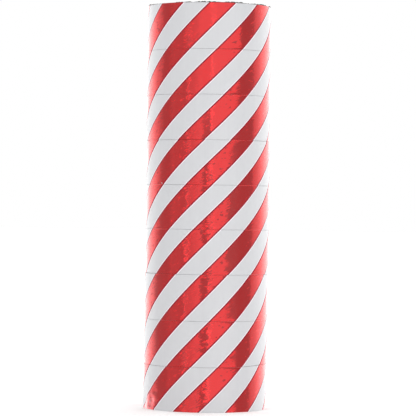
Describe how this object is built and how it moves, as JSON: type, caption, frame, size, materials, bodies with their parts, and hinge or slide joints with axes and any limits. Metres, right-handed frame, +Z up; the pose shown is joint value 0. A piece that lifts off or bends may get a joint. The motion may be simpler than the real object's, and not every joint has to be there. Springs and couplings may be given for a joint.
{
  "type": "party streamer roll stack",
  "caption": "Upright stack of coreless party streamer rolls of white paper with slanting red foil stripes, each with a loose end that peels off and free to lift off the roll below.",
  "frame": {"origin": "centre of the stack's bottom face", "axes": "+Z up the winding axis that every roll shares; -Y is the front and the loose ends are at the back, towards +Y"},
  "size_m": [0.0418, 0.0418, 0.1358],
  "materials": {
    "paper": "smooth bright white paper, slightly glossy",
    "foil": "red metallised foil, polished and finely wrinkled"
  },
  "bodies": {
    "roll_1": {"coil_1": "paper", "coil_foil_1": "foil"},
    "end_1": {"tail_1": "paper", "tail_foil_1": "foil"},
    "roll_2": {"coil_2": "paper", "coil_foil_2": "foil"},
    "end_2": {"tail_2": "paper", "tail_foil_2": "foil"},
    "roll_3": {"coil_3": "paper", "coil_foil_3": "foil"},
    "end_3": {"tail_3": "paper", "tail_foil_3": "foil"},
    "roll_4": {"coil_4": "paper", "coil_foil_4": "foil"},
    "end_4": {"tail_4": "paper", "tail_foil_4": "foil"},
    "roll_5": {"coil_5": "paper", "coil_foil_5": "foil"},
    "end_5": {"tail_5": "paper", "tail_foil_5": "foil"},
    "roll_6": {"coil_6": "paper", "coil_foil_6": "foil"},
    "end_6": {"tail_6": "paper", "tail_foil_6": "foil"},
    "roll_7": {"coil_7": "paper", "coil_foil_7": "foil"},
    "end_7": {"tail_7": "paper", "tail_foil_7": "foil"},
    "roll_8": {"coil_8": "paper", "coil_foil_8": "foil"},
    "end_8": {"tail_8": "paper", "tail_foil_8": "foil"},
    "roll_9": {"coil_9": "paper", "coil_foil_9": "foil"},
    "end_9": {"tail_9": "paper", "tail_foil_9": "foil"}
  },
  "joints": [
    {"name": "lift_2", "type": "slide", "parent": "roll_1", "child": "roll_2", "axis": [0, 0, 1], "range_m": [0, 0.02]},
    {"name": "lift_3", "type": "slide", "parent": "roll_2", "child": "roll_3", "axis": [0, 0, 1], "range_m": [0, 0.02]},
    {"name": "lift_4", "type": "slide", "parent": "roll_3", "child": "roll_4", "axis": [0, 0, 1], "range_m": [0, 0.02]},
    {"name": "lift_5", "type": "slide", "parent": "roll_4", "child": "roll_5", "axis": [0, 0, 1], "range_m": [0, 0.02]},
    {"name": "lift_6", "type": "slide", "parent": "roll_5", "child": "roll_6", "axis": [0, 0, 1], "range_m": [0, 0.02]},
    {"name": "lift_7", "type": "slide", "parent": "roll_6", "child": "roll_7", "axis": [0, 0, 1], "range_m": [0, 0.02]},
    {"name": "lift_8", "type": "slide", "parent": "roll_7", "child": "roll_8", "axis": [0, 0, 1], "range_m": [0, 0.02]},
    {"name": "lift_9", "type": "slide", "parent": "roll_8", "child": "roll_9", "axis": [0, 0, 1], "range_m": [0, 0.02]},
    {"name": "peel_1", "type": "hinge", "parent": "roll_1", "child": "end_1", "pos_m": [0.0121, 0.01701, 0.0075], "axis": [0, 0, -1], "range_deg": [0, 75]},
    {"name": "peel_2", "type": "hinge", "parent": "roll_2", "child": "end_2", "pos_m": [0.0121, 0.01701, 0.0226], "axis": [0, 0, -1], "range_deg": [0, 75]},
    {"name": "peel_3", "type": "hinge", "parent": "roll_3", "child": "end_3", "pos_m": [0.0121, 0.01701, 0.0377], "axis": [0, 0, -1], "range_deg": [0, 75]},
    {"name": "peel_4", "type": "hinge", "parent": "roll_4", "child": "end_4", "pos_m": [0.0121, 0.01701, 0.0528], "axis": [0, 0, -1], "range_deg": [0, 75]},
    {"name": "peel_5", "type": "hinge", "parent": "roll_5", "child": "end_5", "pos_m": [0.0121, 0.01701, 0.0679], "axis": [0, 0, -1], "range_deg": [0, 75]},
    {"name": "peel_6", "type": "hinge", "parent": "roll_6", "child": "end_6", "pos_m": [0.0121, 0.01701, 0.083], "axis": [0, 0, -1], "range_deg": [0, 75]},
    {"name": "peel_7", "type": "hinge", "parent": "roll_7", "child": "end_7", "pos_m": [0.0121, 0.01701, 0.0981], "axis": [0, 0, -1], "range_deg": [0, 75]},
    {"name": "peel_8", "type": "hinge", "parent": "roll_8", "child": "end_8", "pos_m": [0.0121, 0.01701, 0.1132], "axis": [0, 0, -1], "range_deg": [0, 75]},
    {"name": "peel_9", "type": "hinge", "parent": "roll_9", "child": "end_9", "pos_m": [0.0121, 0.01701, 0.1283], "axis": [0, 0, -1], "range_deg": [0, 75]}
  ]
}
